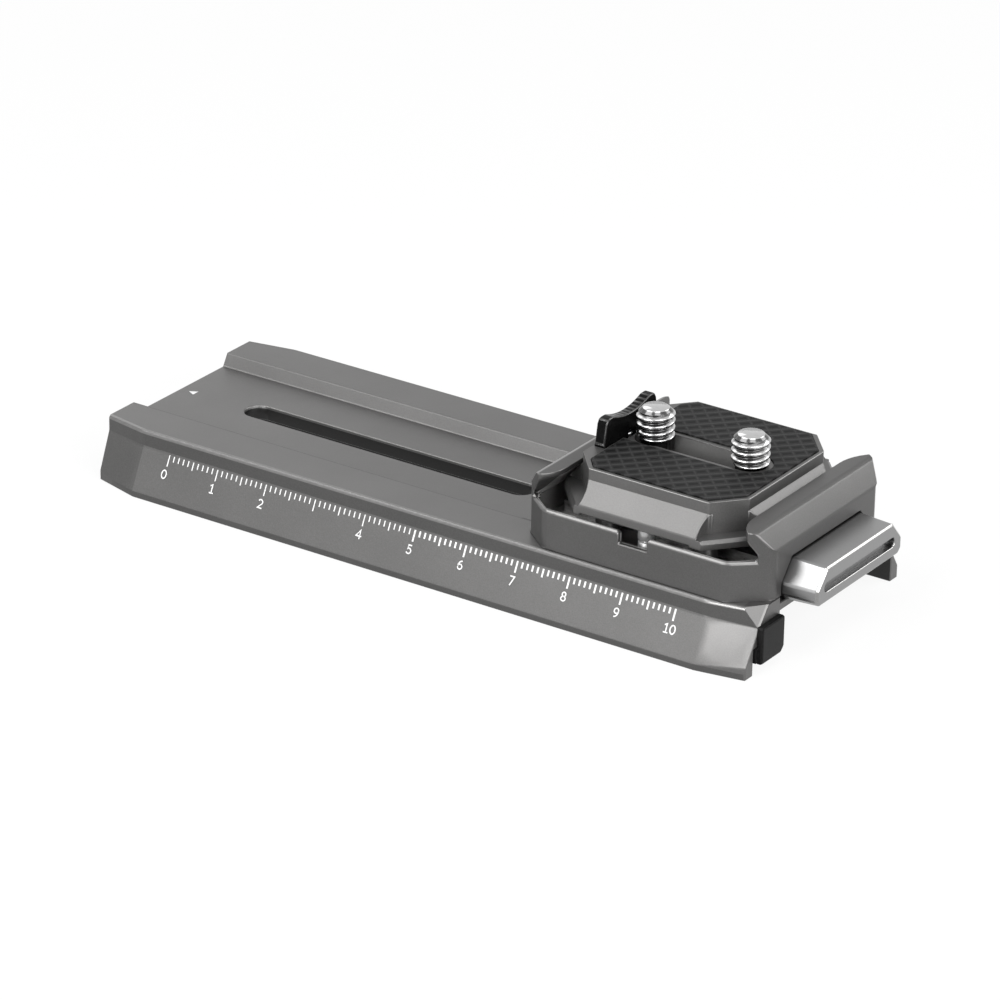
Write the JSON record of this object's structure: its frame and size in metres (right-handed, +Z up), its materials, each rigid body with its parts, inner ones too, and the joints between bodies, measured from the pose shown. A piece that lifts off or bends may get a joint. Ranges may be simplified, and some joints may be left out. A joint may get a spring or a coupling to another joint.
{
  "type": "tripod quick release plate",
  "caption": "Long dovetail slide plate with a printed scale and centre slot, carrying a push-button clamp that holds a small square camera plate with camera screws and a fold-down flap.",
  "frame": {"origin": "middle of the ground face below the whole object", "axes": "+X along the plate from the slotted end to the release button, +Y away from the printed scale, +Z up towards the camera"},
  "size_m": [0.1348, 0.05, 0.0303],
  "materials": {
    "base": "fine sand-blasted anodised grey",
    "clamp": "fine sand-blasted anodised grey",
    "button": "satin brushed",
    "screw": "blackened steel",
    "thread": "satin steel",
    "pin": "polished steel",
    "steel": "plain steel",
    "spring": "drawn wire",
    "washer": "black nylon",
    "pad": "black with diamond ribs",
    "flap": "satin black",
    "stop": "satin black"
  },
  "bodies": {
    "clamp": {"base_plate": "base", "clamp_body": "clamp", "clamp_screws": "screw", "deck_plate": "clamp", "deck_screws": "screw", "locating_pin": "pin", "stop_screws": "screw", "spring_post": "pin", "camera_plate": "clamp", "grip_pad": "pad", "flap_pin": "pin", "return_springs": "spring", "stop_spring": "spring"},
    "release": {"release_button": "button", "button_screws": "screw", "slider_frame": "steel", "frame_screws": "screw", "sliding_jaw": "clamp"},
    "left_screw": {"camera_screw_left": "thread", "washer_left": "washer"},
    "screw_carrier": {"washer_right": "washer"},
    "right_screw": {"camera_screw_right": "thread"},
    "flap": {"flap": "flap"},
    "stop": {"safety_stop": "stop"}
  },
  "joints": [
    {"name": "button_press", "type": "slide", "parent": "clamp", "child": "release", "axis": [-1, 0, 0], "range_m": [0, 0.002], "stiffness_N_per_m": 1500, "springref_m": -0.0015, "deforming": ["return_springs"]},
    {"name": "left_screw_turn", "type": "hinge", "parent": "clamp", "child": "left_screw", "pos_m": [0.0285, 0, 0.027], "axis": [0, 0, 1], "continuous": true},
    {"name": "right_screw_slide", "type": "slide", "parent": "clamp", "child": "screw_carrier", "axis": [-1, 0, 0], "range_m": [0, 0.0075]},
    {"name": "right_screw_turn", "type": "hinge", "parent": "screw_carrier", "child": "right_screw", "pos_m": [0.04645, 0, 0.027], "axis": [0, 0, 1], "continuous": true},
    {"name": "flap_fold", "type": "hinge", "parent": "clamp", "child": "flap", "pos_m": [0.02325, 0, 0.024], "axis": [0, -1, 0], "range_deg": [0, 90]},
    {"name": "stop_press", "type": "slide", "parent": "clamp", "child": "stop", "axis": [0, 1, 0], "range_m": [0, 0.002], "stiffness_N_per_m": 400, "springref_m": -0.0015, "deforming": ["stop_spring"]}
  ]
}
